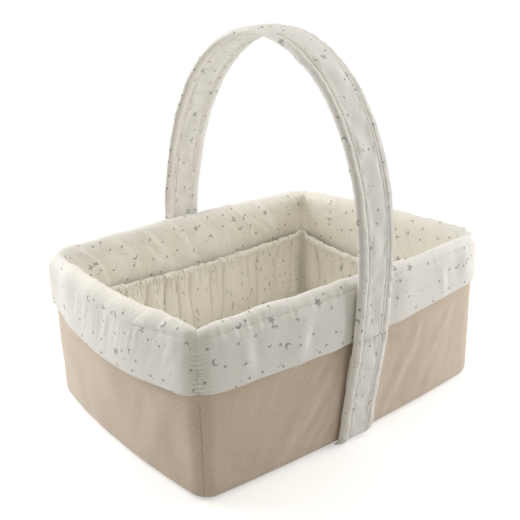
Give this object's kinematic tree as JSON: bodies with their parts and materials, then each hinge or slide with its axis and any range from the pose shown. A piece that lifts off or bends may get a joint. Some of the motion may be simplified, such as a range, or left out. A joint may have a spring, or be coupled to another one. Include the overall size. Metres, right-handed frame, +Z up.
{
  "type": "layette basket",
  "caption": "Padded cloth basket for baby care things, with a turned-down printed cuff, gathered inner pockets and one wide arched carrying handle.",
  "frame": {"origin": "centre of the footprint, on the surface that the basket stands on", "axes": "+X along the basket's length, +Y across it from front to back, +Z up; the handle's arch crosses the basket along Y at mid-length"},
  "size_m": [0.4012, 0.3174, 0.377],
  "materials": {
    "cover_cotton": "matt beige cotton with tiny pale pin dots",
    "printed_cotton": "matt off-white cotton with a scattered grey print of small stars, crescents and dots",
    "board": "raw hardboard",
    "wadding": "white polyester wadding",
    "elastic": "woven white elastic",
    "rod_plastic": "matt white plastic rod"
  },
  "bodies": {
    "root": {"base_board": "board", "cuff_back": "printed_cotton", "cuff_front": "printed_cotton", "cuff_left": "printed_cotton", "cuff_right": "printed_cotton", "floor_lining": "printed_cotton", "floor_pad": "wadding", "handle_band_back": "printed_cotton", "handle_band_front": "printed_cotton", "handle_core": "wadding", "handle_rod_left": "rod_plastic", "handle_rod_right": "rod_plastic", "handle_sleeve": "printed_cotton", "lining_back": "printed_cotton", "lining_front": "printed_cotton", "lining_left": "printed_cotton", "lining_right": "printed_cotton", "outer_base_panel": "cover_cotton", "outer_panel_back": "cover_cotton", "outer_panel_front": "cover_cotton", "outer_panel_left": "cover_cotton", "outer_panel_right": "cover_cotton", "pocket_back": "printed_cotton", "pocket_elastic_back": "elastic", "pocket_elastic_front": "elastic", "pocket_elastic_left": "elastic", "pocket_elastic_right": "elastic", "pocket_front": "printed_cotton", "pocket_left": "printed_cotton", "pocket_right": "printed_cotton", "wall_board_back": "board", "wall_board_front": "board", "wall_board_left": "board", "wall_board_right": "board", "wall_wadding_back": "wadding", "wall_wadding_front": "wadding", "wall_wadding_left": "wadding", "wall_wadding_right": "wadding"}
  },
  "joints": []
}
